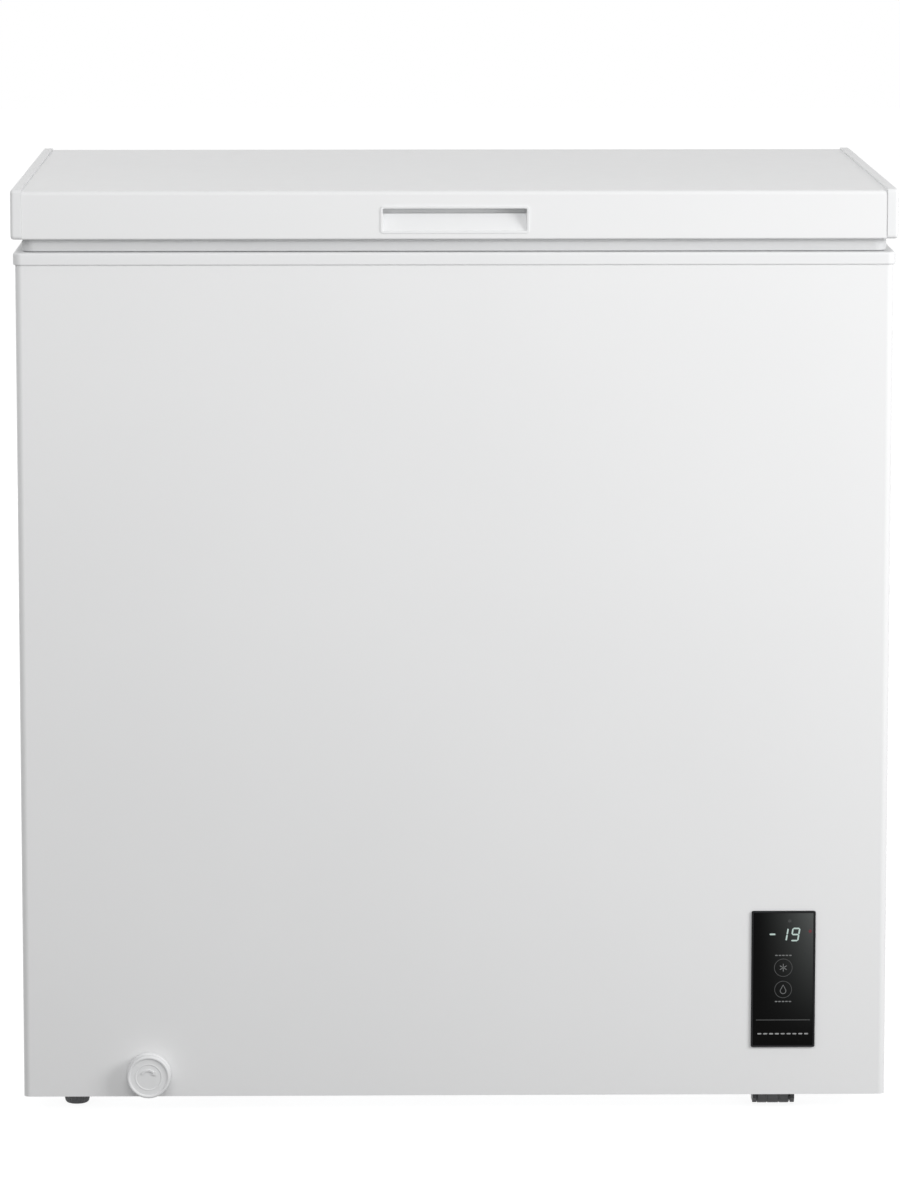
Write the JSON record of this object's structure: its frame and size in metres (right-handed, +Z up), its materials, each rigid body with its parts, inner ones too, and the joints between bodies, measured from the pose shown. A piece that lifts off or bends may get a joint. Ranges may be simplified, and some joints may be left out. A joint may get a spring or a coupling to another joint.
{
  "type": "chest freezer",
  "caption": "White chest freezer with a top lid on counterbalanced spring hinges, a recessed handle, a hanging wire basket, a front touch control panel and a pull-out drain dial.",
  "frame": {"origin": "centre of the overall box at floor level", "axes": "+Z up, -Y out of the front with the handle, +X to the right seen from the front"},
  "size_m": [0.802, 0.56, 0.8555],
  "materials": {
    "white_enamel": "glossy white enamel on steel sheet",
    "zinc_sheet": "zinc-coated steel sheet",
    "stucco_liner": "embossed aluminium sheet",
    "foam": "rigid insulating foam",
    "white_plastic": "white moulded plastic",
    "inner_plastic": "white vacuum-formed sheet",
    "gasket_rubber": "soft grey profile",
    "hinge_metal": "white powder coat",
    "steel": "bare steel",
    "slider_plastic": "dark nylon",
    "copper": "drawn copper tube",
    "compressor_black": "black paint",
    "black_rubber": "moulded rubber",
    "black_plastic": "black moulded plastic",
    "black_lens": "high gloss black",
    "circuit_green": "glass fibre board",
    "grey_plastic": "grey moulded plastic",
    "basket_wire": "white coated wire"
  },
  "bodies": {
    "cabinet": {"back_panel": "zinc_sheet", "bottom_panel": "zinc_sheet", "capillary_tube": "copper", "compressor": "compressor_black", "compressor_grommets": "black_rubber", "compressor_tray": "zinc_sheet", "condenser_coil": "copper", "control_bezel": "black_plastic", "control_board": "circuit_green", "control_lens": "black_lens", "discharge_pipe": "copper", "display_module": "black_lens", "drain_elbow": "white_plastic", "evaporator_coil": "copper", "filter_drier": "copper", "foot_sockets": "steel", "front_panel": "white_enamel", "hinge_channels": "hinge_metal", "hinge_pins": "steel", "hinge_springs": "steel", "insulation": "foam", "liner": "stucco_liner", "liquid_line": "copper", "power_inlet": "black_plastic", "rear_cover": "white_enamel", "roller_brackets": "compressor_black", "side_grille": "white_plastic", "side_panel_left": "white_enamel", "side_panel_right": "white_enamel", "suction_pipe": "copper", "temperature_sensor": "steel", "terminal_cover": "black_plastic", "top_frame": "white_plastic", "touch_pads": "steel", "wiring_harness": "black_rubber"},
    "lid": {"lid_skin": "white_enamel", "lid_end_caps": "white_plastic", "lid_inner_panel": "inner_plastic", "lid_insulation": "foam", "lid_gasket": "gasket_rubber", "lid_handle": "white_plastic", "hinge_leaves": "hinge_metal"},
    "hinge_sliders": {"hinge_sliders": "slider_plastic"},
    "drain_slide": {"drain_seal": "gasket_rubber"},
    "drain_dial": {"drain_dial": "white_plastic", "drain_spout": "white_plastic"},
    "drain_stopper": {"drain_stopper": "gasket_rubber"},
    "basket": {"basket_frame": "basket_wire", "basket_end_grids": "basket_wire", "basket_side_grids": "basket_wire", "basket_floor_grid": "basket_wire"},
    "roller_front": {"roller_front": "grey_plastic"},
    "roller_rear": {"roller_rear": "grey_plastic"},
    "foot_front": {"foot_front": "grey_plastic"},
    "foot_rear": {"foot_rear": "grey_plastic"}
  },
  "joints": [
    {"name": "lid_hinge", "type": "hinge", "parent": "cabinet", "child": "lid", "pos_m": [0, 0.267, 0.806], "axis": [-1, 0, 0], "range_deg": [0, 80]},
    {"name": "slider_lift", "type": "slide", "parent": "cabinet", "child": "hinge_sliders", "axis": [0, 0, 1], "range_m": [0, 0.0091], "deforming": ["hinge_springs"]},
    {"name": "drain_pull", "type": "slide", "parent": "cabinet", "child": "drain_slide", "axis": [0, -1, 0], "range_m": [0, 0.045]},
    {"name": "drain_turn", "type": "hinge", "parent": "drain_slide", "child": "drain_dial", "pos_m": [-0.282, -0.273, 0.038], "axis": [0, 1, 0], "range_deg": [0, 180]},
    {"name": "stopper_lift", "type": "slide", "parent": "cabinet", "child": "drain_stopper", "axis": [0, 0, 1], "range_m": [0, 0.06]},
    {"name": "basket_slide", "type": "slide", "parent": "cabinet", "child": "basket", "axis": [1, 0, 0], "range_m": [-0.41, 0]},
    {"name": "roller_front_spin", "type": "hinge", "parent": "cabinet", "child": "roller_front", "pos_m": [0.2966, -0.228, 0.008], "axis": [1, 0, 0], "continuous": true},
    {"name": "roller_rear_spin", "type": "hinge", "parent": "cabinet", "child": "roller_rear", "pos_m": [0.2966, 0.205, 0.008], "axis": [1, 0, 0], "continuous": true},
    {"name": "foot_front_turn", "type": "hinge", "parent": "cabinet", "child": "foot_front", "pos_m": [-0.351, -0.216, 0.01], "axis": [0, 0, 1], "continuous": true},
    {"name": "foot_rear_turn", "type": "hinge", "parent": "cabinet", "child": "foot_rear", "pos_m": [-0.351, 0.2, 0.01], "axis": [0, 0, 1], "continuous": true}
  ],
  "couplings": [
    {"joint": "slider_lift", "follows": "lid_hinge", "m_per_rad": 0.0065}
  ]
}
